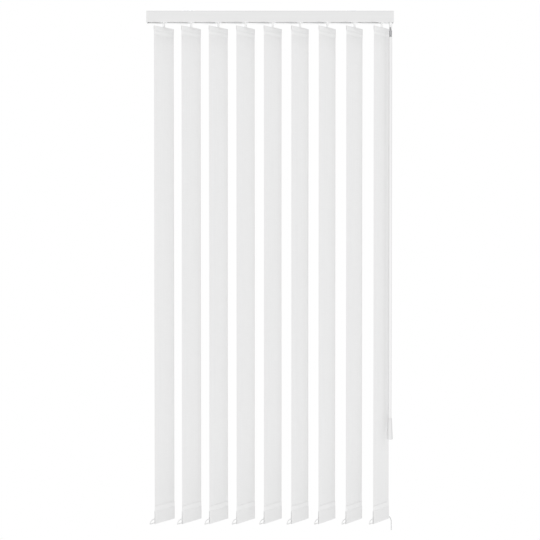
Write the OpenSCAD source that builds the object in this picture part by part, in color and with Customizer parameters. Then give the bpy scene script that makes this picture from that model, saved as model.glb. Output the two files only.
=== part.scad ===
// Vertical blind: fabric slats on geared carriers in a headrail, turned and drawn by a wand.
// Millimetres. X runs along the headrail, -Y faces the room, +Z is up.
// The origin is on the ceiling, midway between the two brackets.

/* [Slats] */
// Number of slats
slat_count = 9; // [3:1:9]
// Distance between neighbouring slats
slat_pitch = 80; // [72:1:96]
// Width of a slat
slat_width = 89; // [78:1:100]
// Length of a slat from top fold to bottom fold
slat_length = 1458; // [1350:1:2000]
// Thickness of the slat fabric
fabric_t = 0.6; // [0.4:0.05:0.8]
// Turn of the stored slats from the headrail's line, in degrees
rest_tilt = 54.3; // [40:0.1:70]
// Height of the hanger's pocket
top_pocket = 10; // [10:0.5:24]
// Height of the weight's pocket
bottom_pocket = 36; // [36:0.5:60]
// Height over which a pocket closes to its weld
pocket_taper = 3; // [2:0.5:8]
// Height of the doubled hem beyond a weld
hem = 13; // [4:0.5:20]
// Room on each side of a plate in its pocket
pocket_gap = 0.3; // [0.1:0.05:0.6]

/* [Hangers] */
// Thickness of the hanger plate and its tab
hanger_t = 1.4; // [1.2:0.1:2]
// Height of the hanger plate
hanger_height = 9; // [7:0.5:9]
// Distance from a slat's edge to the end of its hanger
hanger_inset = 7; // [4:0.5:12]
// Width of the tab that the stem grips
tab_width = 9; // [7:0.5:14]
// Rise of the tab above the slat
tab_rise = 8; // [7:0.5:10]
// Diameter of the hole in the tab
tab_hole_d = 2.6; // [2:0.1:3]
// Length of stem that shows between the headrail and a slat
stem_show = 12.7; // [12:0.1:20]
// Diameter of the stem
stem_d = 4; // [3.4:0.1:4.6]
// Diameter of the stem's fork
fork_d = 5.2; // [5:0.1:6]

/* [Weights] */
// Thickness of a weight plate
weight_t = 1.8; // [1.4:0.1:3]
// Height of a weight plate
weight_height = 33; // [28:0.5:33]
// Distance from a slat's edge to the end of its weight
weight_inset = 3; // [2:0.5:8]
// Thickness of the strand of a weight's eye
eye_strand = 3.4; // [2.6:0.1:4]
// Reach of a weight's eye beyond the slat's edge
eye_reach = 24.5; // [20:0.5:30]
// Height of a weight's eye at the slat's edge
eye_height = 13; // [12:0.5:18]
// Height of the lower strand above the bottom fold
eye_foot = 2.2; // [1.8:0.1:4]

/* [Headrail] */
// Depth of the headrail from the room side to the window side
rail_depth = 44; // [42:0.5:60]
// Wall of the headrail
rail_wall = 1.3; // [1:0.1:2]
// Radius of the headrail's long edges
rail_edge_r = 1.6; // [0.6:0.1:2.4]
// Distance from the headrail's left end to the first stem
left_margin = 50; // [34:0.5:80]
// Width of the bracket slot along the headrail's top
bracket_slot = 20; // [14:0.5:26]
// Height of the bracket channel under the top lips
channel_height = 2.9; // [2.4:0.1:5]
// Free height between the link guides and the channel floor
headroom = 2.2; // [1:0.1:5]
// Thickness of an end cap's plate
cap_plate = 3; // [2.6:0.1:5]
// Length of an end cap's lugs
cap_lug = 8; // [5:0.5:12]

/* [Gears] */
// Teeth on a stem's pinion, so the rod's turns for one turn of a slat
pinion_teeth = 9; // [9:1:10]
// Module of the pinion and the worm
gear_module = 1.3; // [1.25:0.01:1.4]
// Height of the pinion's teeth along the stem
pinion_face = 4; // [3:0.5:4]
// Pitch radius of a worm
worm_pitch_r = 5.2; // [5.1:0.1:5.8]
// Length of a worm's thread
worm_thread = 12; // [9:0.5:13]
// Teeth on each bevel gear of the wand drive
bevel_teeth = 10; // [8:1:12]
// Pitch radius of each bevel gear
bevel_r = 5; // [4.9:0.1:6]
// Width of the bevel teeth along the gear's axis
bevel_face = 1.7; // [1:0.1:1.8]
// Width across the flats of the hexagon tilt rod
rod_flats = 5; // [4.4:0.1:5.1]

/* [Carriers] */
// Length of a carrier along the headrail
carrier_length = 19.6; // [19.2:0.1:24]
// Thickness of the shoe that slides on the lips
shoe_t = 2; // [1.4:0.1:3]
// Thickness of the cheeks that hold the worm
cheek_t = 2.2; // [1.6:0.1:2.4]
// Thickness of the carrier's roof
roof_t = 1.6; // [1.2:0.1:3]
// Thickness of a link strip
link_t = 0.6; // [0.4:0.05:0.8]
// Width of a link strip
link_width = 5; // [4:0.1:6]
// Length of a link strip beyond the next carrier's stem
link_end = 3.2; // [2.5:0.1:4]
// Gap between sliding or turning pieces
run_gap = 0.3; // [0.2:0.05:0.4]

/* [Wand] */
// Distance from the last stem to the wand
wand_offset = 25; // [24:0.5:40]
// Diameter of the wand
wand_d = 9.6; // [8.5:0.1:11]
// Length of the wand from the hook's ferrule to the grip's foot
wand_length = 1183; // [800:1:1300]
// Diameter of the drive stub under the headrail
stub_d = 9.4; // [8.5:0.1:10.5]
// Length of the drive stub under the headrail
stub_show = 19; // [17:0.5:26]
// Diameter of the drive's shaft in the lead carrier
drive_shaft_d = 6.6; // [6:0.1:7]
// Diameter of the hook's wire
wire_d = 2.4; // [2:0.1:2.8]
// Drop from the hook's pin to its ferrule
hook_drop = 9; // [8:0.5:14]
// Length of the hook's ferrule
ferrule_length = 18; // [12:0.5:24]
// Diameter of the hook's ferrule
ferrule_d = 7.8; // [7.4:0.1:8.4]
// Length of the grip
grip_length = 62; // [45:1:90]
// Diameter of the grip's top
grip_top_d = 11.8; // [11.6:0.1:14]
// Diameter of the grip's foot
grip_foot_d = 17.6; // [14:0.1:18]
// Thickness of the grip's closed foot
grip_foot_t = 12; // [6:0.5:20]

/* [Brackets] */
// Distance between the two ceiling brackets
bracket_spacing = 480; // [300:1:600]
// Length of a bracket along the headrail
bracket_length = 30; // [24:1:50]
// Width of a bracket's ceiling plate
bracket_width = 38; // [32:0.5:42]
// Thickness of a bracket's ceiling plate
bracket_plate = 1.2; // [1:0.1:2]
// Diameter of a bracket's screw hole
screw_hole_d = 4.5; // [3.5:0.1:5.5]
// Diameter of the recess for the screw's head
screw_head_d = 9; // [8:0.1:11]

/* [Chain tail] */
// Diameter of a bead
bead_d = 3.2; // [2.6:0.1:4]
// Distance between beads
bead_step = 4.4; // [4.2:0.1:5]
// Number of beads
bead_count = 11; // [8:1:14]

/* [Hidden] */
$fn = 48;

// Small fixed sizes of the mouldings
slide_gap = 0.15;
neck_wall = 2;
slot_room = 1.2;
guide_wall = 1.5;
guide_bar_t = 1.2;
level_step = link_t + 0.4;
level_count = 3;
link_arm = 4;
arm_room = 1;
hub_wall = 0.8;
hub_lap = 0.5;
drive_collar_t = 3;
drive_collar_r = bevel_r - 0.8;
end_gap = 0.4;
flange_t = 1.6;
flange_lip = 4;
lug_width = 7;
lug_height = 5;
journal_depth = 2.2;
journal_d = rod_flats - 0.4;
ferrule_wall = 0.9;
ferrule_flange_t = 2.5;
spigot_length = 10;
shoulder = 3;
grip_edge_r = 2;
tail_hook = 3.5;
tail_fall = 25;
tail_bend = 6;
fork_cap = 1;
fork_lift = 1;
fork_roof = 0.6;
tang_half = 1.4;
tang_foot = 2.5;
knuckle_d = wire_d + 0.3;
flange_rim = 0.3;
tang_room = 3;
stub_neck = 1;
wand_chamfer = 0.5;
notch_room = 1;
overlap = 1;

// Gear proportions
tooth_addendum = 0.7 * gear_module;
tooth_dedendum = 0.92 * gear_module;
tooth_half = 0.54 * gear_module;
thread_half = 0.5 * gear_module;
flank_slope = 0.3;
pinion_r = pinion_teeth * gear_module / 2;
pinion_outer_r = pinion_r + tooth_addendum;
worm_root_r = worm_pitch_r - tooth_dedendum;
worm_outer_r = worm_pitch_r + tooth_addendum;
thread_pitch = PI * gear_module;
gear_centre = pinion_r + worm_pitch_r;
bevel_module = 2 * bevel_r / bevel_teeth;
bevel_addendum = 0.6 * bevel_module;
bevel_dedendum = bevel_module;
bevel_half = 0.5 * bevel_module;

// Places along the headrail
lead_reach = wand_offset + bevel_r + bevel_addendum;
right_margin = lead_reach + end_gap + cap_plate;
rail_length = left_margin + (slat_count - 1) * slat_pitch + right_margin;
first_stem = left_margin - rail_length / 2;
cap_face = rail_length / 2 - cap_plate;
function stem_x(i) = first_stem + (i - 1) * slat_pitch;
wand_x = stem_x(slat_count) + wand_offset;
rod_y = -gear_centre;

// Heights, built up from the mechanism so that the headrail always holds it
shoe_rise = rail_wall + run_gap;
rod_rise = shoe_rise + shoe_t + run_gap + drive_collar_t + bevel_r;
roof_rise = rod_rise + worm_outer_r + run_gap;
link_rise = roof_rise + roof_t + run_gap;
guide_rise = link_rise + level_count * level_step;
floor_rise = guide_rise + guide_bar_t + headroom;
rail_height = floor_rise + 2 * rail_wall + channel_height;
rail_top = -bracket_plate;
rail_bottom = rail_top - rail_height;
shoe_z = rail_bottom + shoe_rise;
rod_z = rail_bottom + rod_rise;
roof_z = rail_bottom + roof_rise;
slat_top = rail_bottom - stem_show;
slat_bottom = slat_top - slat_length;
slot_front = gear_centre + drive_shaft_d / 2 + slot_room;
neck_r = stem_d / 2 + neck_wall;
slot_rear = neck_r + slot_room;

// Wand heights
stub_end = rail_bottom - stub_show;
hook_pin_z = stub_end + wire_d / 2 + tang_foot;
ferrule_top = hook_pin_z - hook_drop;
ferrule_end = ferrule_top - ferrule_length;
wand_end = ferrule_end - wand_length + grip_foot_t;
grip_end = ferrule_end - wand_length;
leg_x = tang_half + slide_gap + knuckle_d / 2;

// Route of the chain tail in the last slat's own plane: outward, then down
tail_start = [slat_width / 2 + tail_hook, eye_foot + bead_d / 2];
function tail_turn(k) = tail_fall + (90 - tail_fall) * min(1, k / tail_bend);
function tail_point(k) = k == 0 ? tail_start :
    tail_point(k - 1) + bead_step * [cos(tail_turn(k)), -sin(tail_turn(k))];

// A box between two corners
module block(low, high) {
    translate(low)
        cube(high - low);
}

// An outline in the slat's thickness and height, extruded along X
module along_x(length) {
    rotate([90, 0, 90])
        linear_extrude(height = length, center = true)
            children();
}

// A shape placed at slat i's stem and turned with its slat
module at_slat(i) {
    translate([stem_x(i), 0, 0])
        rotate([0, 0, rest_tilt])
            children();
}

// A hexagon bar along X about the rod's axis
module hex_bar(flats, from_x, to_x) {
    translate([from_x, rod_y, rod_z])
        rotate([0, 90, 0])
            cylinder(d = flats / cos(30), h = to_x - from_x, $fn = 6);
}

// A round bar along X about the rod's axis
module rod_round(d, from_x, to_x) {
    translate([from_x, rod_y, rod_z])
        rotate([0, 90, 0])
            cylinder(d = d, h = to_x - from_x);
}

// A rectangle with rounded corners
module rounded_rect(low, high, r) {
    for (x = [low[0] + r, high[0] - r], y = [low[1] + r, high[1] - r])
        translate([x, y])
            circle(r);
    translate([low[0] + r, low[1]])
        square([high[0] - low[0] - 2 * r, high[1] - low[1]]);
    translate([low[0], low[1] + r])
        square([high[0] - low[0], high[1] - low[1] - 2 * r]);
}

// A gear outline with slim straight-sided teeth, one of them on the +X axis
module gear_outline(teeth, pitch_r, addendum, dedendum, half) {
    root_r = pitch_r - dedendum;
    root_half = half + flank_slope * dedendum;
    tip_half = half - flank_slope * addendum;
    circle(root_r);
    for (k = [0:teeth - 1])
        rotate(k * 360 / teeth)
            polygon([[0, -root_half], [root_r, -root_half], [pitch_r + addendum, -tip_half],
                     [pitch_r + addendum, tip_half], [root_r, root_half], [0, root_half]]);
}

// The headrail's section: bottom lips beside the carriers' slot, and a bracket channel on top
module rail_section() {
    half = rail_depth / 2;
    inner = half - rail_wall;
    floor_z = rail_bottom + floor_rise;
    difference() {
        rounded_rect([-half, rail_bottom], [half, rail_top], rail_edge_r);
        translate([-inner, rail_bottom + rail_wall])
            square([2 * inner, floor_rise - rail_wall]);
        translate([-slot_front, rail_bottom - rail_wall])
            square([slot_front + slot_rear, 3 * rail_wall]);
        translate([-inner, floor_z + rail_wall])
            square([2 * inner, channel_height]);
        translate([-bracket_slot / 2, rail_top - 2 * rail_wall])
            square([bracket_slot, 3 * rail_wall]);
    }
}

module headrail() {
    color("white")
        along_x(2 * cap_face)
            rail_section();
}

// side is -1 at the left end and 1 at the right end
module end_cap(side) {
    half = rail_depth / 2;
    lug_top = rail_bottom + floor_rise - run_gap;
    lug_side = half - rail_wall - slide_gap;
    color("whitesmoke")
        difference() {
            union() {
                translate([side * (cap_face + cap_plate / 2), 0, 0])
                    along_x(cap_plate)
                        rounded_rect([-half, rail_bottom], [half, rail_top], rail_edge_r);
                for (y = [-lug_side, lug_side - lug_width])
                    translate([side > 0 ? cap_face - cap_lug : -cap_face, y, lug_top - lug_height])
                        cube([cap_lug, lug_width, lug_height]);
            }
            rod_round(journal_d + 2 * slide_gap, side > 0 ? cap_face - run_gap : -cap_face - journal_depth - run_gap,
                      side > 0 ? cap_face + journal_depth + run_gap : -cap_face + run_gap);
        }
}

module end_cap_left() {
    end_cap(-1);
}

module end_cap_right() {
    end_cap(1);
}

// A plate on the ceiling, and a flange that the headrail's top lips slide over
module ceiling_bracket() {
    flange_top = rail_top - rail_wall - slide_gap;
    half = bracket_length / 2;
    neck = bracket_slot / 2 - slide_gap;
    difference() {
        union() {
            block([-half, -bracket_width / 2, -bracket_plate], [half, bracket_width / 2, 0]);
            block([-half, -neck, flange_top - flange_t], [half, neck, -bracket_plate / 2]);
            block([-half, -neck - flange_lip, flange_top - flange_t], [half, neck + flange_lip, flange_top]);
        }
        translate([0, 0, flange_top - flange_t - overlap])
            cylinder(d = screw_hole_d, h = flange_t - flange_top + 2 * overlap);
        translate([0, 0, flange_top - flange_t - overlap])
            cylinder(d = screw_head_d, h = flange_t + overlap);
    }
}

module ceiling_brackets() {
    color("silver")
        for (side = [-1, 1])
            translate([side * bracket_spacing / 2, 0, 0])
                ceiling_bracket();
}

// A hexagon rod whose round ends turn in the end caps
module tilt_rod() {
    hex_end = cap_face - run_gap;
    round_end = cap_face + journal_depth;
    color("gainsboro") {
        hex_bar(rod_flats, -hex_end, hex_end);
        rod_round(journal_d, -round_end, overlap - hex_end);
        rod_round(journal_d, hex_end - overlap, round_end);
    }
}

// The strip that limits the distance to the next carrier, on one of three levels
module link(i) {
    low = rail_bottom + link_rise + (i % level_count) * level_step;
    arm_x = guide_wall + arm_room;
    arm_y = link_width / 2 + 2 * run_gap + guide_wall;
    block([arm_x, -link_width / 2, low], [slat_pitch + link_end, link_width / 2, low + link_t]);
    block([arm_x, 0, low], [arm_x + link_arm, arm_y, low + link_t]);
    block([arm_x, link_width / 2 + run_gap, roof_z + roof_t / 2], [arm_x + link_arm, arm_y, low + link_t]);
}

// The arch on the roof that the neighbours' links slide through
module link_guide() {
    inner = link_width / 2 + run_gap;
    outer = inner + guide_wall;
    top = rail_bottom + guide_rise;
    half = guide_wall / 2;
    for (y = [-outer, inner])
        block([-half, y, roof_z + roof_t / 2], [half, y + guide_wall, top + guide_bar_t]);
    block([-half, -outer, top], [half, outer, top + guide_bar_t]);
}

// Shoe, cheeks and roof around one worm and pinion
module carrier_frame(lead) {
    half = carrier_length / 2;
    shoe_half = rail_depth / 2 - rail_wall - 2 * run_gap;
    front = rod_y - worm_outer_r - cheek_t;
    rear = pinion_outer_r + run_gap;
    boss_top = rod_z - pinion_face / 2 - run_gap;
    block([-half, -shoe_half, shoe_z], [lead ? lead_reach : half, shoe_half, shoe_z + shoe_t]);
    translate([0, 0, rail_bottom])
        cylinder(r = neck_r, h = boss_top - rail_bottom);
    for (x = [-half, half - cheek_t])
        block([x, front, shoe_z + shoe_t / 2], [x + cheek_t, rear, roof_z + roof_t / 2]);
    block([-half, front, roof_z], [half, rear, roof_z + roof_t]);
    link_guide();
}

module carrier(i) {
    lead = i == slat_count;
    hub_d = 2 * (rod_flats / cos(30) / 2 + slide_gap + hub_wall);
    color("ivory")
        translate([stem_x(i), 0, 0]) {
            difference() {
                carrier_frame(lead);
                translate([0, 0, rail_bottom - overlap])
                    cylinder(d = stem_d + 2 * slide_gap, h = rail_height);
                rod_round(hub_d + 2 * slide_gap, -carrier_length, carrier_length);
                if (lead)
                    translate([wand_offset, rod_y, rail_bottom])
                        cylinder(d = drive_shaft_d + 2 * slide_gap, h = rod_rise - bevel_r);
            }
            if (!lead)
                link(i);
        }
}

// A single-start thread's outline across its axis: root circle and one trapezoid crest
function thread_radius(turn) =
    let (away = abs(turn) * thread_pitch / 360,
         root_half = thread_half + flank_slope * tooth_dedendum,
         tip_half = thread_half - flank_slope * tooth_addendum,
         share = (root_half - away) / (root_half - tip_half))
    worm_root_r + (worm_outer_r - worm_root_r) * max(0, min(1, share));
root_turn = 360 * (thread_half + flank_slope * tooth_dedendum) / thread_pitch;
tip_turn = 360 * (thread_half - flank_slope * tooth_addendum) / thread_pitch;
root_steps = 7;
thread_turns = concat([-tip_turn, 0, tip_turn],
    [for (k = [0:root_steps]) root_turn + k * (360 - 2 * root_turn) / root_steps]);
slices_per_turn = 10;

// The worm's crest faces the pinion at the worm's middle
module worm(i) {
    hub_d = 2 * (rod_flats / cos(30) / 2 + slide_gap + hub_wall);
    hub_end = carrier_length / 2;
    turns = worm_thread / thread_pitch;
    color("lightgrey")
        translate([stem_x(i), 0, 0])
            difference() {
                union() {
                    translate([-worm_thread / 2, rod_y, rod_z])
                        rotate([0, 90, 0])
                            rotate([0, 0, 90 - 180 * turns])
                                linear_extrude(height = worm_thread, twist = -360 * turns,
                                               slices = ceil(slices_per_turn * turns),
                                               segments = len(thread_turns))
                                    polygon([for (a = thread_turns)
                                        thread_radius(a > 180 ? a - 360 : a) * [cos(a), sin(a)]]);
                    rod_round(hub_d, -hub_end, hub_lap - worm_thread / 2);
                    rod_round(hub_d, worm_thread / 2 - hub_lap, hub_end);
                }
                hex_bar(rod_flats + 2 * slide_gap, -carrier_length, carrier_length);
            }
}

// Stem with its pinion and a fork that grips the hanger's tab
module stem() {
    slot_half = hanger_t / 2 + slide_gap;
    fork_top = slat_top + tab_rise + fork_cap;
    pin_z = slat_top + tab_rise - tab_hole_d;
    difference() {
        union() {
            translate([0, 0, fork_top - overlap])
                cylinder(d = stem_d, h = roof_z + roof_t - fork_top + overlap);
            translate([0, 0, slat_top + fork_lift])
                cylinder(d = fork_d, h = fork_top - slat_top);
            translate([0, 0, rod_z - pinion_face / 2])
                rotate([0, 0, -90 - rest_tilt + 180 / pinion_teeth])
                    linear_extrude(height = pinion_face)
                        gear_outline(pinion_teeth, pinion_r, tooth_addendum, tooth_dedendum, tooth_half);
        }
        block([-tab_width, -slot_half, slat_top], [tab_width, slot_half, fork_top - fork_roof]);
    }
    translate([0, fork_d / 2 - overlap / 2, pin_z])
        rotate([90, 0, 0])
            cylinder(d = tab_hole_d - 2 * slide_gap, h = fork_d - overlap);
}

// Plate in the top pocket with a tab that stands up through the fold
module hanger_plate() {
    half = slat_width / 2 - hanger_inset;
    plate_top = slat_top - fabric_t - pocket_gap;
    difference() {
        union() {
            block([-half, -hanger_t / 2, plate_top - hanger_height], [half, hanger_t / 2, plate_top]);
            block([-tab_width / 2, -hanger_t / 2, plate_top - overlap], [tab_width / 2, hanger_t / 2, slat_top + tab_rise]);
        }
        translate([0, hanger_t, slat_top + tab_rise - tab_hole_d])
            rotate([90, 0, 0])
                cylinder(d = tab_hole_d, h = 2 * hanger_t);
    }
}

module hanger(i) {
    color("whitesmoke")
        at_slat(i) {
            stem();
            hanger_plate();
        }
}

// Half of a folded pocket's outline, from its fold at height 0 down to its weld
function pocket_half(half, height, weld) = concat(
    [for (a = [0:15:90]) [half * sin(a), half * cos(a) - half]],
    [[half, -height], [weld, -height - pocket_taper]]);
function moved(points, rise) = [for (p = points) [p[0], p[1] + rise]];
function upended(points) = [for (k = [len(points) - 1:-1:0]) [points[k][0], -points[k][1]]];
function closed(half) = concat(half, [for (k = [len(half) - 1:-1:0]) [-half[k][0], half[k][1]]]);

// The slat's section: a sheet with a doubled hem and a hollow pocket at each end
module slat_section() {
    top_in = hanger_t / 2 + pocket_gap;
    foot_in = weight_t / 2 + pocket_gap;
    top_hem = top_pocket + pocket_taper + hem;
    foot_hem = bottom_pocket + pocket_taper + hem;
    outer = closed(concat(
        moved(concat(pocket_half(top_in + fabric_t, top_pocket, fabric_t),
                     [[fabric_t, -top_hem], [fabric_t / 2, -top_hem]]), slat_top),
        moved(upended(concat(pocket_half(foot_in + fabric_t, bottom_pocket, fabric_t),
                             [[fabric_t, -foot_hem], [fabric_t / 2, -foot_hem]])), slat_bottom)));
    top_room = closed(moved(pocket_half(top_in, top_pocket - fabric_t, 0), slat_top - fabric_t));
    foot_room = closed(moved(upended(pocket_half(foot_in, bottom_pocket - fabric_t, 0)),
                             slat_bottom + fabric_t));
    difference() {
        polygon(outer);
        polygon(top_room);
        polygon(foot_room);
    }
}

// A fabric strip, notched at the top for the hanger's tab
module slat(i) {
    notch = tab_width / 2 + notch_room;
    notch_half = hanger_t + pocket_gap + fabric_t;
    color("white")
        at_slat(i)
            difference() {
                along_x(slat_width)
                    slat_section();
                block([-notch, -notch_half, slat_top - 2 * fabric_t - pocket_gap],
                      [notch, notch_half, slat_top + fabric_t]);
            }
}

// Bow of a weight's eye, as shares of its reach and of its height
eye_bow = [[0.36, 0.97], [0.6, 0.8], [0.78, 0.54], [0.9, 0.25], [0.84, 0.12]];

// A route moved sideways by a distance, with its corners kept sharp
function heading(from, to) = (to - from) / norm(to - from);
function leftward(way) = [-way[1], way[0]];
function beside(route, k, away) =
    let (last = len(route) - 1,
         before = leftward(heading(route[max(0, k - 1)], route[max(1, k)])),
         after = leftward(heading(route[min(last - 1, k)], route[min(last, k + 1)])))
    route[k] + away * (before + after) / (1 + before * after);
function offset_route(route, away) = [for (k = [0:len(route) - 1]) beside(route, k, away)];

// Outline of a weight's plate and of the eye that stands out of the pocket's front end
module weight_outline(tail) {
    edge = -slat_width / 2;
    plate_half = slat_width / 2 - weight_inset;
    plate_foot = fabric_t + pocket_gap + weight_t / 2;
    root = edge + weight_inset + eye_strand;
    route = concat([[root, eye_foot + eye_height]],
                   [for (p = eye_bow) [edge - p[0] * eye_reach, eye_foot + p[1] * eye_height]],
                   [[root, eye_foot + eye_strand / 2]]);
    translate([-plate_half, plate_foot])
        square([2 * plate_half, weight_height]);
    difference() {
        polygon(offset_route(route, -eye_strand / 2));
        polygon(offset_route(route, eye_strand / 2));
    }
    if (tail)
        translate([plate_half - eye_strand, tail_start[1] - eye_strand / 2])
            square([weight_inset + tail_hook + eye_strand, eye_strand]);
}

module weight(i) {
    color("whitesmoke")
        at_slat(i)
            translate([0, 0, slat_bottom])
                rotate([90, 0, 0])
                    linear_extrude(height = weight_t, center = true)
                        weight_outline(i == slat_count);
}

// The end of the bottom chain, hooked to the last weight
module chain_tail() {
    string_d = bead_d / 3;
    color("white")
        at_slat(slat_count)
            translate([0, 0, slat_bottom])
                for (k = [0:bead_count - 1]) {
                    here = tail_point(k);
                    next = tail_point(k + 1);
                    translate([here[0] + bead_d / 2, 0, here[1]])
                        rotate([90, 0, 0])
                            rotate([0, 0, 45])
                                sphere(d = bead_d);
                    if (k < bead_count - 1)
                        translate([here[0] + bead_d / 2, 0, here[1]])
                            rotate([0, 90 + tail_turn(k + 1), 0])
                                cylinder(d = string_d, h = norm(next - here), $fn = 16);
                }
}

// Bevel teeth that narrow towards the gear's apex, above a collar
module bevel_gear(collar_t, collar_r, turn) {
    rotate([0, 0, turn])
        linear_extrude(height = bevel_face, scale = (bevel_r - bevel_face) / bevel_r)
            gear_outline(bevel_teeth, bevel_r, bevel_addendum, bevel_dedendum, bevel_half);
    translate([0, 0, -collar_t])
        cylinder(r = collar_r, h = collar_t);
}

// Bevel gear on the rod, to the left of the wand drive
module drive_gear() {
    collar_t = wand_offset - bevel_r - carrier_length / 2 - run_gap;
    color("lightgrey")
        difference() {
            translate([wand_x - bevel_r, rod_y, rod_z])
                rotate([0, 90, 0])
                    bevel_gear(collar_t, drive_collar_r, 180 / bevel_teeth);
            hex_bar(rod_flats + 2 * slide_gap, stem_x(slat_count), wand_x);
        }
}

// Upright shaft in the lead carrier, with an eye under the headrail
module wand_drive() {
    gear_z = rod_z - bevel_r;
    stub_top = rail_bottom - run_gap - stub_neck;
    tang_top = hook_pin_z + wire_d + tang_room;
    color("white")
        translate([wand_x, rod_y, 0])
            difference() {
                union() {
                    translate([0, 0, gear_z])
                        bevel_gear(drive_collar_t, drive_collar_r, 180);
                    translate([0, 0, stub_top - overlap])
                        cylinder(d = drive_shaft_d, h = gear_z - drive_collar_t - stub_top + 2 * overlap);
                    translate([0, 0, stub_end])
                        cylinder(d = stub_d, h = stub_top - stub_end);
                }
                rotate([0, 0, rest_tilt]) {
                    for (side = [-1, 1])
                        translate([side * (tang_half + stub_d / 2), 0, tang_top - (tang_top - stub_end + overlap) / 2])
                            cube([stub_d, 2 * stub_d, tang_top - stub_end + overlap], center = true);
                    translate([-stub_d, 0, hook_pin_z])
                        rotate([0, 90, 0])
                            cylinder(d = wire_d + 2 * slide_gap, h = 2 * stub_d);
                }
            }
}

// Wire bail through the drive's eye, closed in a ferrule
module wand_hook() {
    flange_r = leg_x + wire_d / 2 + flange_rim;
    color("dimgrey")
        translate([wand_x, rod_y, 0])
            rotate([0, 0, rest_tilt])
                difference() {
                    union() {
                        translate([-leg_x, 0, hook_pin_z])
                            rotate([0, 90, 0])
                                cylinder(d = wire_d, h = 2 * leg_x);
                        for (side = [-1, 1]) {
                            translate([side * leg_x, 0, hook_pin_z])
                                sphere(d = knuckle_d);
                            translate([side * leg_x, 0, ferrule_top - overlap])
                                cylinder(d = wire_d, h = hook_drop + overlap);
                        }
                        translate([0, 0, ferrule_top - ferrule_flange_t])
                            cylinder(r = flange_r, h = ferrule_flange_t);
                        translate([0, 0, ferrule_end])
                            cylinder(d = ferrule_d, h = ferrule_length - overlap);
                    }
                    translate([0, 0, ferrule_end - overlap])
                        cylinder(d = ferrule_d - 2 * ferrule_wall, h = spigot_length + overlap + slide_gap);
                }
}

// Rod with a spigot in the ferrule and a shoulder under it
module wand() {
    spigot_r = ferrule_d / 2 - ferrule_wall - slide_gap;
    seat = ferrule_end - slide_gap;
    color("white")
        translate([wand_x, rod_y, 0])
            rotate_extrude()
                polygon([[0, wand_end], [wand_d / 2 - wand_chamfer, wand_end], [wand_d / 2, wand_end + wand_chamfer],
                         [wand_d / 2, seat - shoulder], [ferrule_d / 2, seat], [spigot_r, seat],
                         [spigot_r, ferrule_end + spigot_length], [0, ferrule_end + spigot_length]]);
}

// Tapered handle with a blind bore for the wand
module wand_grip() {
    top = grip_end + grip_length;
    bore_r = wand_d / 2 + slide_gap;
    foot_r = grip_foot_d / 2;
    color("whitesmoke")
        translate([wand_x, rod_y, 0])
            rotate_extrude()
                polygon(concat(
                    [[0, grip_end]],
                    [for (a = [0:15:90]) [foot_r - grip_edge_r + grip_edge_r * sin(a),
                                          grip_end + grip_edge_r - grip_edge_r * cos(a)]],
                    [[grip_top_d / 2, top], [bore_r, top], [bore_r, wand_end - slide_gap],
                     [0, wand_end - slide_gap]]));
}

headrail();
end_cap_left();
end_cap_right();
ceiling_brackets();
tilt_rod();
for (i = [1:slat_count]) {
    carrier(i);
    worm(i);
    hanger(i);
    slat(i);
    weight(i);
}
drive_gear();
wand_drive();
wand_hook();
wand();
wand_grip();
chain_tail();
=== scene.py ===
"""Dresses the vertical blind: fabric slats, bead chain, weights, wand pieces and every finish."""

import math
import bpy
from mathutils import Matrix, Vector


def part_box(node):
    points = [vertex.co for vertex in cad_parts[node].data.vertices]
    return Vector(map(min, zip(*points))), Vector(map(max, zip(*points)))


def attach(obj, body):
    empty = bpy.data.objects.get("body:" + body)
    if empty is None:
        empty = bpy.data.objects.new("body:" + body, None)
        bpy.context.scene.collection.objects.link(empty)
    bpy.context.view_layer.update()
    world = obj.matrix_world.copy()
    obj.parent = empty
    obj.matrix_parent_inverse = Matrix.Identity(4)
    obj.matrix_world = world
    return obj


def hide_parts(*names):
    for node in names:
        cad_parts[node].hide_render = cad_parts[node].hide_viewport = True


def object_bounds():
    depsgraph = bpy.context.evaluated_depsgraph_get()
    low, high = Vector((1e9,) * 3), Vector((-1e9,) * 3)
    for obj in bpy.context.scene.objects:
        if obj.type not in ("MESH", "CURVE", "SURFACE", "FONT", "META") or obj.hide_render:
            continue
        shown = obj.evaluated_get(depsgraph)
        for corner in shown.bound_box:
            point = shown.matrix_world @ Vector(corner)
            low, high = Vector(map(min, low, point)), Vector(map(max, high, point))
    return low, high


bl_info = {
    "name": "Vertical blind",
    "version": (1, 0, 0),
    "blender": (4, 5, 0),
    "location": "View3D > Sidebar > Blind",
    "description": "Builds the fabric, the trim and the finishes of a wand-operated vertical blind",
    "category": "Object",
}

import bmesh
import bpy
from bpy.props import FloatProperty, FloatVectorProperty, PointerProperty
from mathutils import Matrix, Vector

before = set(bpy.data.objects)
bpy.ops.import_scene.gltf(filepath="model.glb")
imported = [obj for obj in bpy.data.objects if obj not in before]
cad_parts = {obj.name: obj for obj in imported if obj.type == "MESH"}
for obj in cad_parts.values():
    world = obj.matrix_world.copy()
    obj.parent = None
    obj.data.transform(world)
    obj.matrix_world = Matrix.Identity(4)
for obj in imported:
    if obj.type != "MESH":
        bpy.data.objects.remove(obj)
CAD_LOW, CAD_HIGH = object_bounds()

SLAT_COUNT = 9
SLAT_LOW, SLAT_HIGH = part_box("slat_1")
WAND_LOW, WAND_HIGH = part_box("wand")
GRIP_LOW, GRIP_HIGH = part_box("wand_grip")
HOOK_LOW, HOOK_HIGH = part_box("wand_hook")
RAIL_LOW, RAIL_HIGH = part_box("headrail")
WAND_X = (WAND_LOW.x + WAND_HIGH.x) / 2
WAND_Y = (WAND_LOW.y + WAND_HIGH.y) / 2
IMAGE_SIZE = 540


def length(label, words, value):
    return FloatProperty(name=label, description=words, default=value, unit="LENGTH", precision=5)


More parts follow.
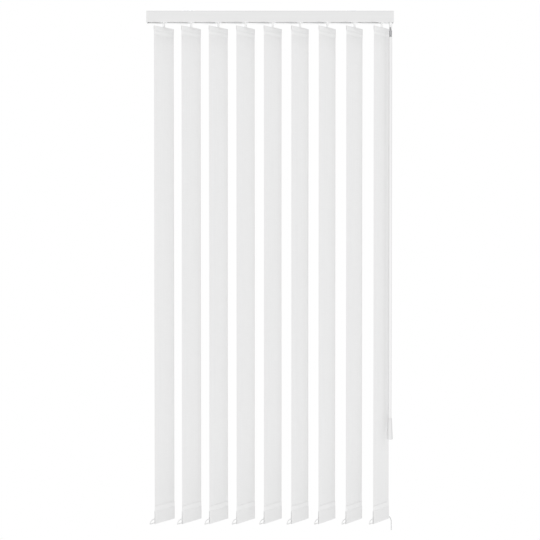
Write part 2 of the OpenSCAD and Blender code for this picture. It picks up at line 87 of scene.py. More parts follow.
def angle(label, words, degrees):
    return FloatProperty(name=label, description=words, default=math.radians(degrees), subtype="ANGLE")


def colour(label, words, value):
    return FloatVectorProperty(name=label, description=words, default=value, subtype="COLOR",
                               min=0.0, max=1.0)


class BlindSizes(bpy.types.PropertyGroup):
    """Sizes of the soft pieces and the trim, in metres."""

    tilt: angle("Tilt", "Turn of the stored slats from the headrail's line", 54.3)
    slat_width: length("Slat width", "Width of a fabric slat", 0.089)
    fabric: length("Fabric", "Thickness of the slat fabric", 0.0005)
    top_pocket: length("Top pocket", "Height of the pocket that holds the hanger", 0.010)
    top_room: length("Top room", "Half the top pocket's thickness at mid fabric", 0.0013)
    foot_pocket: length("Foot pocket", "Height of the pocket that holds the weight", 0.036)
    foot_room: length("Foot room", "Half the foot pocket's thickness at mid fabric", 0.0015)
    taper: length("Pocket taper", "Height over which a pocket closes to its weld", 0.003)
    hem: length("Hem", "Height of the doubled hem beyond a pocket", 0.013)
    notch: length("Notch", "Half the width of the notch for the hanger's tab", 0.0055)
    pinch: length("Pinch", "How far in from a slat's edge its pockets draw together", 0.004)
    thread: length("Thread pitch", "Spacing of the fabric's threads", 0.0011)
    sway: length("Sway", "How far a slat strays from flat", 0.0004)
    weight_thick: length("Weight thickness", "Thickness of a weight's plate", 0.0018)
    weight_foot: length("Weight foot", "Rise from the bottom fold to the weight's plate", 0.0018)
    weight_height: length("Weight height", "Height of a weight's plate", 0.033)
    weight_inset: length("Weight inset", "Distance from the slat's edge to the weight's plate", 0.003)
    eye_strand: length("Eye strand", "Thickness of the strand of a weight's eye", 0.0034)
    eye_reach: length("Eye reach", "Reach of a weight's eye beyond the slat", 0.0245)
    eye_height: length("Eye height", "Height of a weight's eye", 0.013)
    eye_foot: length("Eye foot", "Rise from the bottom fold to the eye", 0.0022)
    bead: length("Bead", "Diameter of a chain bead", 0.0032)
    bead_step: length("Bead step", "Distance between chain beads", 0.0044)
    cord: length("Chain thread", "Diameter of the chain's thread", 0.0011)
    wire: length("Wire", "Diameter of the hook's wire", 0.0024)
    hook_leg: length("Hook leg", "Distance of the hook's legs from the wand's axis", 0.0029)
    hook_drop: length("Hook drop", "Drop from the hook's pin to its ferrule", 0.009)
    ferrule: length("Ferrule", "Diameter of the hook's ferrule", 0.0078)
    grip_top: length("Grip top", "Diameter of the grip's top", 0.0118)
    wand: length("Wand", "Diameter of the wand", 0.0096)
    spigot: length("Spigot", "Depth of the wand's end in the ferrule", 0.010)
    rail_wall: length("Rail wall", "Wall of the headrail", 0.0013)


class BlindColours(bpy.types.PropertyGroup):
    """Colours of the finishes."""

    fabric: colour("Fabric", "Woven slat fabric", (0.83, 0.83, 0.83))
    hem: colour("Doubled fabric", "Fabric where two layers are welded", (0.87, 0.87, 0.87))
    enamel: colour("Enamel", "Stove enamel of the headrail", (0.67, 0.67, 0.67))
    # Lining: a whiter colour painted in and under the headrail as painted fill light, lifting the shade
    # of the rail's hollow and underside.
    painted_fill: colour("Lining", "White primer in and under the headrail", (0.94, 0.94, 0.94))
    moulding: colour("Moulding", "White mouldings", (0.70, 0.70, 0.70))
    hanger: colour("Hangers", "Mouldings of the stems and the hangers", (0.86, 0.86, 0.86))
    carrier: colour("Carriers", "Mouldings of the carriers and the wand's drive", (0.80, 0.80, 0.80))
    weight: colour("Weights", "Mouldings of the weights", (0.80, 0.80, 0.80))
    chain: colour("Chain", "Mouldings of the chain's beads", (0.62, 0.62, 0.62))
    gear: colour("Gears", "Unpigmented gear mouldings", (0.66, 0.66, 0.63))
    gloss: colour("Wand", "Extruded wand", (0.74, 0.74, 0.74))
    wire: colour("Wire", "Dark steel of the hook's bail", (0.24, 0.24, 0.25))
    ferrule: colour("Ferrule", "Grey steel of the hook's ferrule", (0.33, 0.33, 0.34))
    zinc: colour("Zinc", "Plated steel of the brackets", (0.62, 0.63, 0.65))
    rod: colour("Rod", "Drawn aluminium of the tilt rod", (0.72, 0.73, 0.74))
    floor: colour("Floor", "Studio floor", (0.82, 0.82, 0.82))


def deselect():
    if bpy.context.object and bpy.context.object.mode != "OBJECT":
        bpy.ops.object.mode_set(mode="OBJECT")
    bpy.ops.object.select_all(action="DESELECT")


def pick(piece, *others):
    deselect()
    for o in (piece, *others):
        o.select_set(True)
    bpy.context.view_layer.objects.active = piece


def apply_all(piece):
    pick(piece)
    for modifier in list(piece.modifiers):
        bpy.ops.object.modifier_apply(modifier=modifier.name)


def settle(piece, matrix):
    """Puts a piece's place into its mesh and leaves its object at the origin."""
    pick(piece)
    bpy.ops.object.transform_apply(location=True, rotation=True, scale=True)
    piece.data.transform(matrix)
    piece.data.update()


def copied(piece, name):
    twin = piece.copy()
    twin.data = piece.data.copy()
    twin.name = name
    twin.data.name = name
    bpy.context.scene.collection.objects.link(twin)
    return twin


def smooth(piece, degrees=35):
    pick(piece)
    bpy.ops.object.shade_smooth_by_angle(angle=math.radians(degrees))


def wear(piece, material):
    piece.data.materials.clear()
    piece.data.materials.append(material)


def strand(name, places, radius, rounding, eased=False):
    """A round strand along a run of points, as a mesh with closed ends."""
    curve = bpy.data.curves.new(name, "CURVE")
    curve.dimensions = "3D"
    curve.bevel_depth = radius
    curve.bevel_resolution = rounding
    curve.use_fill_caps = True
    if eased:
        spline = curve.splines.new("BEZIER")
        spline.resolution_u = 4
        spline.bezier_points.add(len(places) - 1)
        for point, place in zip(spline.bezier_points, places):
            point.co = place
            point.handle_left_type = "AUTO"
            point.handle_right_type = "AUTO"
    else:
        spline = curve.splines.new("POLY")
        spline.points.add(len(places) - 1)
        for point, place in zip(spline.points, places):
            point.co = (*place, 1)
    piece = bpy.data.objects.new(name, curve)
    bpy.context.scene.collection.objects.link(piece)
    pick(piece)
    bpy.ops.object.convert(target="MESH")
    return bpy.context.object


def dress(nodes, material):
    """Gives CAD nodes that keep their own shape a finish."""
    for name in nodes:
        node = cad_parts[name]
        node.data.materials.clear()
        node.data.materials.append(material)


def stem(i):
    low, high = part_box(f"hanger_{i}")
    return Vector(((low.x + high.x) / 2, (low.y + high.y) / 2, 0))


def at_slat(i):
    turn = Matrix.Rotation(bpy.context.scene.blind_sizes.tilt, 4, "Z")
    return Matrix.Translation(stem(i)) @ turn


def numbered(kind):
    return [f"{kind}_{i}" for i in range(1, SLAT_COUNT + 1)]


class Finish:
    """A procedural material under construction."""

    def __init__(self, name, base, roughness, metallic=0.0, coordinates="Object"):
        self.material = bpy.data.materials.new(name)
        self.material.use_nodes = True
        self.tree = self.material.node_tree
        self.shader = self.tree.nodes["Principled BSDF"]
        self.base = tuple(base)
        self.set("Base Color", (*self.base, 1))
        self.set("Roughness", roughness)
        self.set("Metallic", metallic)
        self.place = self.tree.nodes.new("ShaderNodeTexCoord").outputs[coordinates]

    def set(self, socket, value):
        self.shader.inputs[socket].default_value = value

    def node(self, kind, **settings):
        made = self.tree.nodes.new("ShaderNode" + kind)
        for key, value in settings.items():
            setattr(made, key, value)
        return made

    def join(self, source, target):
        self.tree.links.new(source, target)

    def mapped(self, scale):
        mapping = self.node("Mapping")
        mapping.inputs["Scale"].default_value = scale
        self.join(self.place, mapping.inputs["Vector"])
        return mapping.outputs["Vector"]

    def noise(self, scale, detail=3.0, roughness=0.55):
        texture = self.node("TexNoise")
        texture.inputs["Scale"].default_value = 1.0
        texture.inputs["Detail"].default_value = detail
        texture.inputs["Roughness"].default_value = roughness
        self.join(self.mapped(scale), texture.inputs["Vector"])
        return texture.outputs["Fac"]

    def math(self, operation, first, second):
        made = self.node("Math", operation=operation)
        for value, socket in zip((first, second), made.inputs):
            if isinstance(value, (int, float)):
                socket.default_value = value
            else:
                self.join(value, socket)
        return made.outputs["Value"]

    def ramp(self, source, stops, interpolation="LINEAR"):
        made = self.node("ValToRGB")
        made.color_ramp.interpolation = interpolation
        elements = made.color_ramp.elements
        while len(elements) < len(stops):
            elements.new(0.5)
        for element, (place, value) in zip(elements, stops):
            element.position = place
            element.color = (*value, 1) if hasattr(value, "__len__") else (value, value, value, 1)
        self.join(source, made.inputs["Fac"])
        return made.outputs["Color"]

    def bands(self, direction, pitch, distortion):
        """A sine band texture of a given pitch on the finish's own coordinates."""
        wave = self.node("TexWave", wave_type="BANDS", bands_direction=direction)
        wave.inputs["Scale"].default_value = math.pi / 10 / pitch
        wave.inputs["Distortion"].default_value = distortion
        wave.inputs["Detail Scale"].default_value = 2.0
        self.join(self.place, wave.inputs["Vector"])
        return wave.outputs["Fac"]

    def mixer(self, blend):
        """A colour mixer's factor, its two colours and its result."""
        made = self.node("Mix", data_type="RGBA", blend_type=blend)
        first, second = (socket for socket in made.inputs if socket.type == "RGBA")
        result = next(socket for socket in made.outputs if socket.type == "RGBA")
        return made.inputs["Factor"], first, second, result

    def mixed(self, factor, first, second):
        """One colour laid over another by a factor; the second is a plain colour."""
        share, under, over, result = self.mixer("MIX")
        self.join(factor, share)
        self.join(first, under)
        over.default_value = (*second, 1)
        return result

    def toned(self, first, second):
        """One colour multiplied by another."""
        share, under, over, result = self.mixer("MULTIPLY")
        share.default_value = 1.0
        self.join(first, under)
        self.join(second, over)
        return result

    def axis(self, name):
        """One of the finish's own coordinates."""
        split = self.node("SeparateXYZ")
        self.join(self.place, split.inputs["Vector"])
        return split.outputs[name]

    def strayed(self, source, spread):
        """The base colour, straying a little to both sides."""
        dark = [c * (1 - spread) for c in self.base]
        light = [min(1.0, c * (1 + spread)) for c in self.base]
        return self.ramp(source, [(0.3, dark), (0.7, light)])

    def mottle(self, source, spread):
        self.join(self.strayed(source, spread), self.shader.inputs["Base Color"])

    def polish(self, source, low, high):
        """Roughness that varies between two values."""
        spread = self.node("MapRange")
        spread.inputs["To Min"].default_value = low
        spread.inputs["To Max"].default_value = high
        self.join(source, spread.inputs["Value"])
        self.join(spread.outputs["Result"], self.shader.inputs["Roughness"])

    def relief(self, height, distance, strength=1.0):
        bump = self.node("Bump")
        bump.inputs["Strength"].default_value = strength
        bump.inputs["Distance"].default_value = distance
        self.join(height, bump.inputs["Height"])
        self.join(bump.outputs["Normal"], self.shader.inputs["Normal"])


def moulded(name, base, roughness=0.46):
    """Injection-moulded plastic with a fine grain and slight flow marks."""
    made = Finish(name, base, roughness)
    made.set("IOR", 1.49)
    made.set("Specular IOR Level", 0.42)
    made.mottle(made.noise((24, 24, 24)), 0.018)
    grain = made.noise((1500, 1500, 1500), 2.0)
    made.polish(made.noise((60, 60, 60)), roughness - 0.06, roughness + 0.08)
    made.relief(grain, 0.00006, 0.5)
    return made.material


def enamelled(name, base, painted_fill, wall):
    """Stove enamel on an extrusion: orange peel, draw lines, painted shade along the top and bottom
    edges with painted highlight strips inside them, and a whiter colour painted in and under the rail as
    painted fill light.
    """
    made = Finish(name, base, 0.36)
    made.set("Coat Weight", 0.12)
    made.set("Coat Roughness", 0.22)
    up = made.axis("Z")
    share = made.math("DIVIDE", made.math("SUBTRACT", up, RAIL_LOW.z), RAIL_HIGH.z - RAIL_LOW.z)
    # Painted shade along the rail's bottom and top edges, with painted highlight strips just inside
    # them, as a tone along the rail's height.
    painted_edge_shade_and_highlight = made.ramp(share, [(0.0, 0.95), (0.03, 0.95), (0.06, 1.02), (0.14, 1.0),
                              (0.86, 1.0), (0.93, 1.03), (0.955, 0.93), (1.0, 0.92)])
    face = made.toned(made.strayed(made.noise((6, 90, 90)), 0.012), painted_edge_shade_and_highlight)
    # Inside the hollow and under the roof the rail takes a whiter colour: painted fill light that lifts
    # the shade there.
    away = made.math("ABSOLUTE", made.axis("Y"), 0.0)
    inside = made.math("LESS_THAN", away, RAIL_HIGH.y - 0.85 * wall)
    below = made.math("LESS_THAN", up, RAIL_HIGH.z - 3 * wall)
    with_painted_fill = made.mixed(made.math("MULTIPLY", inside, below), face, painted_fill)
    made.join(with_painted_fill, made.shader.inputs["Base Color"])
    peel = made.noise((420, 420, 420), 1.5)
    draw = made.noise((3, 700, 700), 2.0)
    made.polish(made.noise((10, 50, 50)), 0.31, 0.42)
    made.relief(made.math("ADD", peel, made.math("MULTIPLY", draw, 0.6)), 0.00004, 0.6)
    return made.material


def glossy_extrusion(name, base):
    """Extruded glossy plastic with draw lines down its length."""
    made = Finish(name, base, 0.36)
    made.set("Coat Weight", 0.10)
    made.set("Coat Roughness", 0.24)
    made.mottle(made.noise((160, 160, 2.5)), 0.012)
    made.polish(made.noise((90, 90, 8)), 0.30, 0.44)
    made.relief(made.noise((700, 700, 3), 2.0), 0.00003, 0.5)
    return made.material


def zinc_plate(name, base):
    """Zinc-plated sheet steel with a soft spangle."""
    made = Finish(name, base, 0.42, metallic=1.0)
    cells = made.node("TexVoronoi")
    cells.inputs["Scale"].default_value = 1.0
    made.join(made.mapped((260, 260, 260)), cells.inputs["Vector"])
    made.mottle(cells.outputs["Distance"], 0.10)
    made.polish(made.noise((180, 180, 180)), 0.32, 0.52)
    made.relief(made.noise((900, 900, 900), 2.0), 0.00003, 0.5)
    return made.material


def drawn_metal(name, base, roughness, metallic, stretch):
    """Drawn metal with streaks along one axis."""
    made = Finish(name, base, roughness, metallic=metallic)
    made.mottle(made.noise(stretch, 4.0), 0.08)
    made.polish(made.noise(stretch, 3.0, 0.7), roughness - 0.08, roughness + 0.10)
    made.relief(made.noise(stretch, 4.0, 0.7), 0.00003, 0.6)
    return made.material


def woven(name, base, hem, cut, sizes):
    """Woven fabric mapped in metres: threads, slubs, whiter welded hems and pressed weld dashes, the row
    under the top pocket darkened further as painted crease shade.
    """
    made = Finish(name, base, 0.82, coordinates="UV")
    made.set("Specular IOR Level", 0.18)
    made.set("Sheen Weight", 0.12)
    made.set("Sheen Roughness", 0.6)
    warp, weft = (made.bands(way, 2 * sizes.thread, 0.6) for way in "XY")
    crossing = made.math("ABSOLUTE", made.math("SUBTRACT", warp, weft), 0.0)
    slub = made.noise((26, 900, 1), 3.0, 0.6)
    streak = made.noise((420, 5, 1), 3.0, 0.6)
    tone = made.math("MULTIPLY", made.math("ADD", slub, streak), 0.5)
    dark = [c * 0.975 for c in base]
    light = [min(1.0, c * 1.02) for c in base]
    single = made.ramp(tone, [(0.32, dark), (0.68, light)])
    along = made.math("DIVIDE", made.axis("Y"), cut)

    def by_metre(*marks):
        return made.ramp(along, [(place / cut, value) for place, value in marks])

    lap, feather = sizes.hem, 0.003
    doubled = by_metre((0, 1.0), (lap, 1.0), (lap + feather, 0.0), (cut - lap - feather, 0.0),
                       (cut - lap, 1.0), (cut - 0.4 * lap, 0.8), (cut, 0.1))
    # Weld rows: faint pressed weld dashes near the foot, and under the top pocket a stronger, darker row
    # that is partly a real weld and partly painted shade of the pocket's crease.
    foot, top = 0.0025, cut - lap + 0.0005
    weld = by_metre((foot - 0.0010, 0.0), (foot, 0.2), (foot + 0.0010, 0.0),
                    (top - 0.0024, 0.0), (top, 1.0), (top + 0.0012, 0.0))
    dash_pitch = 0.0032
    stitches = made.math("GREATER_THAN", made.bands("X", dash_pitch, 0.0), 0.35)
    weld_dashes_and_crease_shade = made.math("MULTIPLY", weld, stitches)
    layered = made.mixed(made.math("MULTIPLY", doubled, 0.8), single, hem)
    welds_and_painted_crease_shade = made.mixed(made.math("MULTIPLY", weld_dashes_and_crease_shade, 0.7), layered, [c * 0.72 for c in base])
    made.join(welds_and_painted_crease_shade, made.shader.inputs["Base Color"])
    body = made.math("SUBTRACT", crossing, made.math("MULTIPLY", weld_dashes_and_crease_shade, 2.5))
    made.relief(made.math("ADD", body, made.math("MULTIPLY", slub, 0.5)), 0.00012, 0.45)
    return made.material


class BLIND_OT_stage(bpy.types.Operator):
    """Sets the camera, the studio light, the white surround and the floor"""

    bl_idname = "blind.stage"
    bl_label = "Set the stage"

    focal_pixels = 1268.8
    rise_pixels = -20
    camera_place = (-0.0003, -3.7406, -0.6253)
    camera_pitch = -0.0201
    even_light = 0.72
    lamps = (("key", 0.82, -4, -9.5, 5), ("bounce", 0.72, 12, -48, 30), ("top", 0.15, 30, 40, 30),
             ("rim", 0.4, 205, 25, 15))
    floor_drop = 0.38
    floor_back = 0.25
    floor_reach = (1.1, 0.6, 1)

    def execute(self, context):
        scene = context.scene
        camera = bpy.data.cameras.new("camera")
        camera.sensor_width = 36
        camera.lens = camera.sensor_width * self.focal_pixels / IMAGE_SIZE
        camera.shift_y = self.rise_pixels / IMAGE_SIZE
        camera.dof.use_dof = False
        eye = bpy.data.objects.new("camera", camera)
        eye.location = self.camera_place
        eye.rotation_euler = (math.pi / 2 + self.camera_pitch, 0, 0)
        scene.collection.objects.link(eye)
        scene.camera = eye
        scene.view_settings.view_transform = "Standard"
        self.light(scene)
        self.surround(scene)
        self.floor(scene.blind_colours)
        return {"FINISHED"}

    def light(self, scene):
        """A key beside the camera, a bounce from below, a top light and a rim light from behind.

        Each lamp has its strength, its turn to the right of the front, its rise and its spread.
        """
        for name, strength, *angles in self.lamps:
            turn, rise, spread = (math.radians(a) for a in angles)
            lamp = bpy.data.lights.new(name, "SUN")
            lamp.energy = strength
            lamp.angle = spread
            holder = bpy.data.objects.new(name, lamp)
            towards = Vector((math.sin(turn), -math.cos(turn), math.tan(rise)))
            holder.rotation_euler = towards.to_track_quat("Z", "Y").to_euler()
            holder.location = towards * 3
            scene.collection.objects.link(holder)

    def surround(self, scene):
        """A white surround for the camera and for gloss, and an even light for the rest."""
        world = bpy.data.worlds.new("studio")
        world.use_nodes = True
        tree = world.node_tree
        even = tree.nodes["Background"]
        even.inputs["Color"].default_value = (1, 1, 1, 1)
        even.inputs["Strength"].default_value = self.even_light
        white = tree.nodes.new("ShaderNodeBackground")
        white.inputs["Color"].default_value = (1, 1, 1, 1)
        white.inputs["Strength"].default_value = 1.0
        path = tree.nodes.new("ShaderNodeLightPath")
        seen = path.outputs["Is Camera Ray"]
        for ray in ("Is Glossy Ray", "Is Transmission Ray"):
            either = tree.nodes.new("ShaderNodeMath")
            either.operation = "MAXIMUM"
            tree.links.new(seen, either.inputs[0])
            tree.links.new(path.outputs[ray], either.inputs[1])
            seen = either.outputs["Value"]
        choose = tree.nodes.new("ShaderNodeMixShader")
        tree.links.new(seen, choose.inputs["Fac"])
        tree.links.new(even.outputs["Background"], choose.inputs[1])
        tree.links.new(white.outputs["Background"], choose.inputs[2])
        tree.links.new(choose.outputs["Shader"], tree.nodes["World Output"].inputs["Surface"])
        scene.world = world

    def floor(self, colours):
        deselect()
        place = (0, self.floor_back, CAD_LOW.z - self.floor_drop)
        bpy.ops.mesh.primitive_plane_add(size=2, location=place)
        plane = bpy.context.object
        plane.name = "studio_floor"
        plane.scale = self.floor_reach
        made = Finish("studio_floor", colours.floor, 0.85)
        made.mottle(made.noise((3, 3, 3)), 0.01)
        plane.data.materials.append(made.material)


class BLIND_OT_chain_tail(bpy.types.Operator):
    """Hangs the end of the bottom chain from the last weight: thread, beads and end clip"""

    bl_idname = "blind.chain_tail"
    bl_label = "Hang the chain tail"

    bead_count = 11
    first_fall = 25
    turning_steps = 6
    peg_reach = 0.0035
    bead_stretch = (1.0, 1.0, 1.06)
    clip_stretch = (0.86, 0.86, 1.5)

    def route(self, sizes):
        """Bead centres in the last slat's plane, out from the weight and then down."""
        place = Vector((sizes.slat_width / 2 + self.peg_reach + sizes.bead / 2, 0,
                        SLAT_LOW.z + sizes.eye_foot + sizes.bead / 2))
        places = [place]
        for k in range(1, self.bead_count):
            fall = self.first_fall + (90 - self.first_fall) * min(1, k / self.turning_steps)
            turn = math.radians(fall)
            place = place + sizes.bead_step * Vector((math.cos(turn), 0, -math.sin(turn)))
            places.append(place)
        return places

    def execute(self, context):
        sizes = context.scene.blind_sizes
        places = self.route(sizes)
        white = moulded("chain_bead_white", context.scene.blind_colours.chain, 0.34)
        fine = []
        for a, b in zip(places, places[1:]):
            fine += [a.lerp(b, t / 3) for t in range(3)]
        fine.append(places[-1])
        thread = strand("chain_thread", fine, sizes.cord / 2, 3)
        settle(thread, at_slat(SLAT_COUNT))
        smooth(thread)
        beads = self.beads(places, sizes)
        for piece in (thread, beads):
            wear(piece, white)
            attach(piece, "louvre_9")
        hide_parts("chain_tail")
        return {"FINISHED"}

    def bead(self, name, sizes, stretch):
        """One bead, drawn out along the thread."""
        deselect()
        bpy.ops.mesh.primitive_uv_sphere_add(segments=16, ring_count=10, radius=sizes.bead / 2)
        bead = bpy.context.object
        bead.name = name
        bpy.ops.object.mode_set(mode="EDIT")
        bpy.ops.mesh.select_all(action="SELECT")
        bpy.ops.transform.resize(value=stretch)
        bpy.ops.object.mode_set(mode="OBJECT")
        return bead

    def beads(self, places, sizes):
        """Beads along the thread and a longer end clip."""
        pattern = self.bead("bead_pattern", sizes, self.bead_stretch)
        parts = [copied(pattern, f"bead_{k}") for k in range(1, self.bead_count)]
        parts.append(self.bead("end_clip", sizes, self.clip_stretch))
        bpy.data.objects.remove(pattern)
        ends = [places[0], *places, places[-1]]
        for part, before, place, after in zip(parts, ends, places, ends[2:]):
            part.rotation_mode = "QUATERNION"
            part.rotation_quaternion = (after - before).to_track_quat("Z", "Y")
            part.location = place
        pick(*parts)
        bpy.ops.object.join()
        beads = bpy.context.object
        beads.name = "chain_beads"
        settle(beads, at_slat(SLAT_COUNT))
        smooth(beads, 60)
        return beads


class BLIND_OT_slats(bpy.types.Operator):
    """Folds, welds and hangs the fabric slats"""

    bl_idname = "blind.slats"
    bl_label = "Hang the slats"

    body_rows = 28
    fold_steps = 10
    eye_top = 0.019
    foot_curl = 0.0001
    top_curl = 0.00005
    edge_pinch = 0.34
    eye_pinch = 0.08
    notch_depth = 0.0016
    curl_reach = 0.003
    flat_from = 0.004

    def section(self, sizes):
        """The folded strip's mid line from hem to hem: across, height and share of the pocket."""
        low, high = SLAT_LOW.z, SLAT_HIGH.z
        foot = self.pocket(sizes.foot_room, sizes.foot_pocket, self.foot_curl, sizes)
        top = self.pocket(sizes.top_room, sizes.top_pocket, self.top_curl, sizes)
        start = low + sizes.foot_pocket + sizes.taper
        end = high - sizes.top_pocket - sizes.taper
        body = [(0, start + (end - start) * k / self.body_rows, 0) for k in range(1, self.body_rows)]
        return ([(n, low + z, p) for n, z, p in foot] + body
                + [(n, high - z, p) for n, z, p in reversed(top)])

    def pocket(self, room, height, curl, sizes):
        """One end of the strip from its hem's free edge to the weld, measured from the fold."""
        t = sizes.fabric
        lap = t * 1.05
        weld = height + sizes.taper
        turn = room + t / 2
        free = weld + sizes.hem
        route = [(-lap - curl, free, 0), (-lap - curl / 3, free - self.curl_reach, 0)]
        route += [(-lap, weld + share * (sizes.hem - self.flat_from), 0) for share in (1.0, 0.5, 0.12)]
        shut = [(0.0, 0.06), (0.25, 0.3), (0.5, 0.62), (0.75, 0.9), (1.0, 1.0)]
        route += [(-lap - (room - lap) * part, weld - share * sizes.taper, part) for share, part in shut]
        route += [(-room, turn + (height - turn) * share, 1) for share in (0.66, 0.33)]
        for k in range(self.fold_steps + 1):
            a = math.pi * k / self.fold_steps
            route.append((-room * math.cos(a), turn - room * math.sin(a), 1))
        route += [(room, turn + (height - turn) * share, 1) for share in (0.33, 0.66)]
        route += [(room * part, weld - share * sizes.taper, part) for share, part in reversed(shut)]
        return route

    def columns(self, sizes):
        half = sizes.slat_width / 2
        flat = half - sizes.pinch
        inner = [sizes.notch + (flat - sizes.notch) * k / 6 for k in range(7)]
        inner += [half - sizes.pinch * share for share in (0.6, 0.3, 0.0)]
        return [-w for w in reversed(inner)] + [0] + inner

    def execute(self, context):
        sizes = context.scene.blind_sizes
        colours = context.scene.blind_colours
        route = self.section(sizes)
        columns = self.columns(sizes)
        travel = [0.0]
        for a, b in zip(route, route[1:]):
            travel.append(travel[-1] + math.dist(a[:2], b[:2]))
        cut = travel[-1]
        fabric = woven("slat_fabric", colours.fabric, colours.hem, cut, sizes)
        for i in range(1, SLAT_COUNT + 1):
            slat = self.strip(i, route, columns, travel, sizes)
            wear(slat, fabric)
            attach(slat, f"louvre_{i}")
            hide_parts(f"slat_{i}")
        return {"FINISHED"}

    def strip(self, i, route, columns, travel, sizes):
        """One strip: a flat grid mapped in metres, folded along the route, notched and thickened.

        A slight bow and cup, which differ from slat to slat, keep it from being flat.
        """
        deselect()
        across, down = len(columns), len(route)
        bpy.ops.mesh.primitive_grid_add(x_subdivisions=across - 1, y_subdivisions=down - 1, size=2)
        strip = bpy.context.object
        strip.name = f"fabric_slat_{i}"
        mesh = strip.data
        low, high = SLAT_LOW.z, SLAT_HIGH.z
        cells = [(min(across - 1, round((v.co.x + 1) / 2 * (across - 1))),
                  min(down - 1, round((v.co.y + 1) / 2 * (down - 1)))) for v in mesh.vertices]
        grain = mesh.uv_layers.active.data
        for loop in mesh.loops:
            c, r = cells[loop.vertex_index]
            grain[loop.index].uv = (columns[c] + sizes.slat_width / 2, travel[r])
        for v, (c, r) in zip(mesh.vertices, cells):
            out, z, pocket = route[r]
            w = columns[c]
            rim = max(0.0, (abs(w) - sizes.slat_width / 2 + sizes.pinch) / sizes.pinch)
            clear = (w > 0 and i < SLAT_COUNT) or z - low > self.eye_top
            out *= 1 - (self.edge_pinch if clear else self.eye_pinch) * pocket * rim
            rise = (z - low) / (high - low)
            free = math.sin(math.pi * rise)
            bow = math.sin(2.1 * i + 5.2 * rise) * (w / sizes.slat_width) * 2
            cup = math.cos(1.3 * i + 3.1 * rise) * (1 - 8 * (w / sizes.slat_width) ** 2)
            v.co = (w, out + sizes.sway * free * (0.6 * bow + 0.4 * cup), z)
        notched = high - self.notch_depth
        shape = bmesh.new()
        shape.from_mesh(mesh)
        cut_out = [f for f in shape.faces if abs(f.calc_center_median().x) < sizes.notch
                   and f.calc_center_median().z > notched]
        bmesh.ops.delete(shape, geom=cut_out, context="FACES")
        shape.to_mesh(mesh)
        shape.free()
        wall = strip.modifiers.new("thickness", "SOLIDIFY")
        wall.thickness = sizes.fabric
        wall.offset = 0
        apply_all(strip)
        settle(strip, at_slat(i))
        smooth(strip, 50)
        return strip


class BLIND_OT_weights(bpy.types.Operator):
    """Moulds the weights: a plate with softened edges and a round eye at its front end"""

    bl_idname = "blind.weights"
    bl_label = "Mould the weights"

    bow = ((0.0, 1.0), (0.2, 1.0), (0.36, 0.97), (0.5, 0.89), (0.62, 0.77), (0.72, 0.62), (0.8, 0.46),
           (0.87, 0.3), (0.9, 0.19), (0.86, 0.13), (0.7, 0.13), (0.4, 0.13), (0.0, 0.13))
    soft_edge = 0.0005
    eye_fullness = 1.15
    peg_root = 0.002
    peg_reach = 0.0034

    def execute(self, context):
        sizes = context.scene.blind_sizes
        white = moulded("weight_white", context.scene.blind_colours.weight)
        first = self.moulding(sizes)
        for i in range(1, SLAT_COUNT + 1):
            weight = copied(first, f"weight_bar_{i}")
            if i == SLAT_COUNT:
                weight = self.with_hook(weight, sizes)
            weight.data.transform(at_slat(i))
            wear(weight, white)
            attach(weight, f"louvre_{i}")
            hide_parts(f"weight_{i}")
        bpy.data.objects.remove(first)
        return {"FINISHED"}

    def plate(self, low, high):
        """A plate between two corners with softened edges."""
        deselect()
        bpy.ops.mesh.primitive_cube_add(size=1, location=(low + high) / 2)
        plate = bpy.context.object
        plate.scale = high - low
        bpy.ops.object.transform_apply(location=True, rotation=True, scale=True)
        bpy.ops.object.mode_set(mode="EDIT")
        bpy.ops.mesh.select_all(action="SELECT")
        bpy.ops.mesh.bevel(offset=self.soft_edge, segments=3, affect="EDGES")
        bpy.ops.object.mode_set(mode="OBJECT")
        return plate

    def moulding(self, sizes):
        half = sizes.slat_width / 2
        edge = half - sizes.weight_inset
        thick = sizes.weight_thick / 2
        foot = SLAT_LOW.z + sizes.weight_foot
        plate = self.plate(Vector((-edge, -thick, foot)),
                           Vector((edge, thick, foot + sizes.weight_height)))
        root = -edge + sizes.eye_strand
        places = []
        for out, up in self.bow:
            w = -half - out * sizes.eye_reach if out else root
            places.append((w, 0, SLAT_LOW.z + sizes.eye_foot + up * sizes.eye_height))
        eye = strand("eye", places, sizes.eye_strand / 2, 4, eased=True)
        flat = self.eye_fullness * sizes.weight_thick / sizes.eye_strand
        eye.data.transform(Matrix.Diagonal((1, flat, 1, 1)))
        pick(plate, eye)
        bpy.ops.object.join()
        plate.name = "weight_pattern"
        smooth(plate, 40)
        return plate

    def with_hook(self, weight, sizes):
        """The last weight's rear peg, which carries the chain's end."""
        half = sizes.slat_width / 2
        level = SLAT_LOW.z + sizes.eye_foot + sizes.bead / 2
        thick = sizes.weight_thick / 2
        inner = half - sizes.weight_inset - self.peg_root
        peg = self.plate(Vector((inner, -thick, level - sizes.eye_strand / 2)),
                         Vector((half + self.peg_reach, thick, level + sizes.eye_strand / 2)))
        pick(weight, peg)
        bpy.ops.object.join()
        smooth(weight, 40)
        return weight


class BLIND_OT_headrail(bpy.types.Operator):
    """Finishes the headrail, its end caps and the ceiling brackets"""

    bl_idname = "blind.headrail"
    bl_label = "Finish the headrail"

    def execute(self, context):
        colours = context.scene.blind_colours
        wall = context.scene.blind_sizes.rail_wall
        dress(["headrail"], enamelled("rail_enamel", colours.enamel, colours.painted_fill, wall))
        dress(["end_cap_left", "end_cap_right"], moulded("cap_white", colours.moulding, 0.4))
        dress(["ceiling_brackets"], zinc_plate("bracket_zinc", colours.zinc))
        dress(["tilt_rod"], drawn_metal("rod_aluminium", colours.rod, 0.34, 1.0, (4, 1200, 1200)))
        return {"FINISHED"}


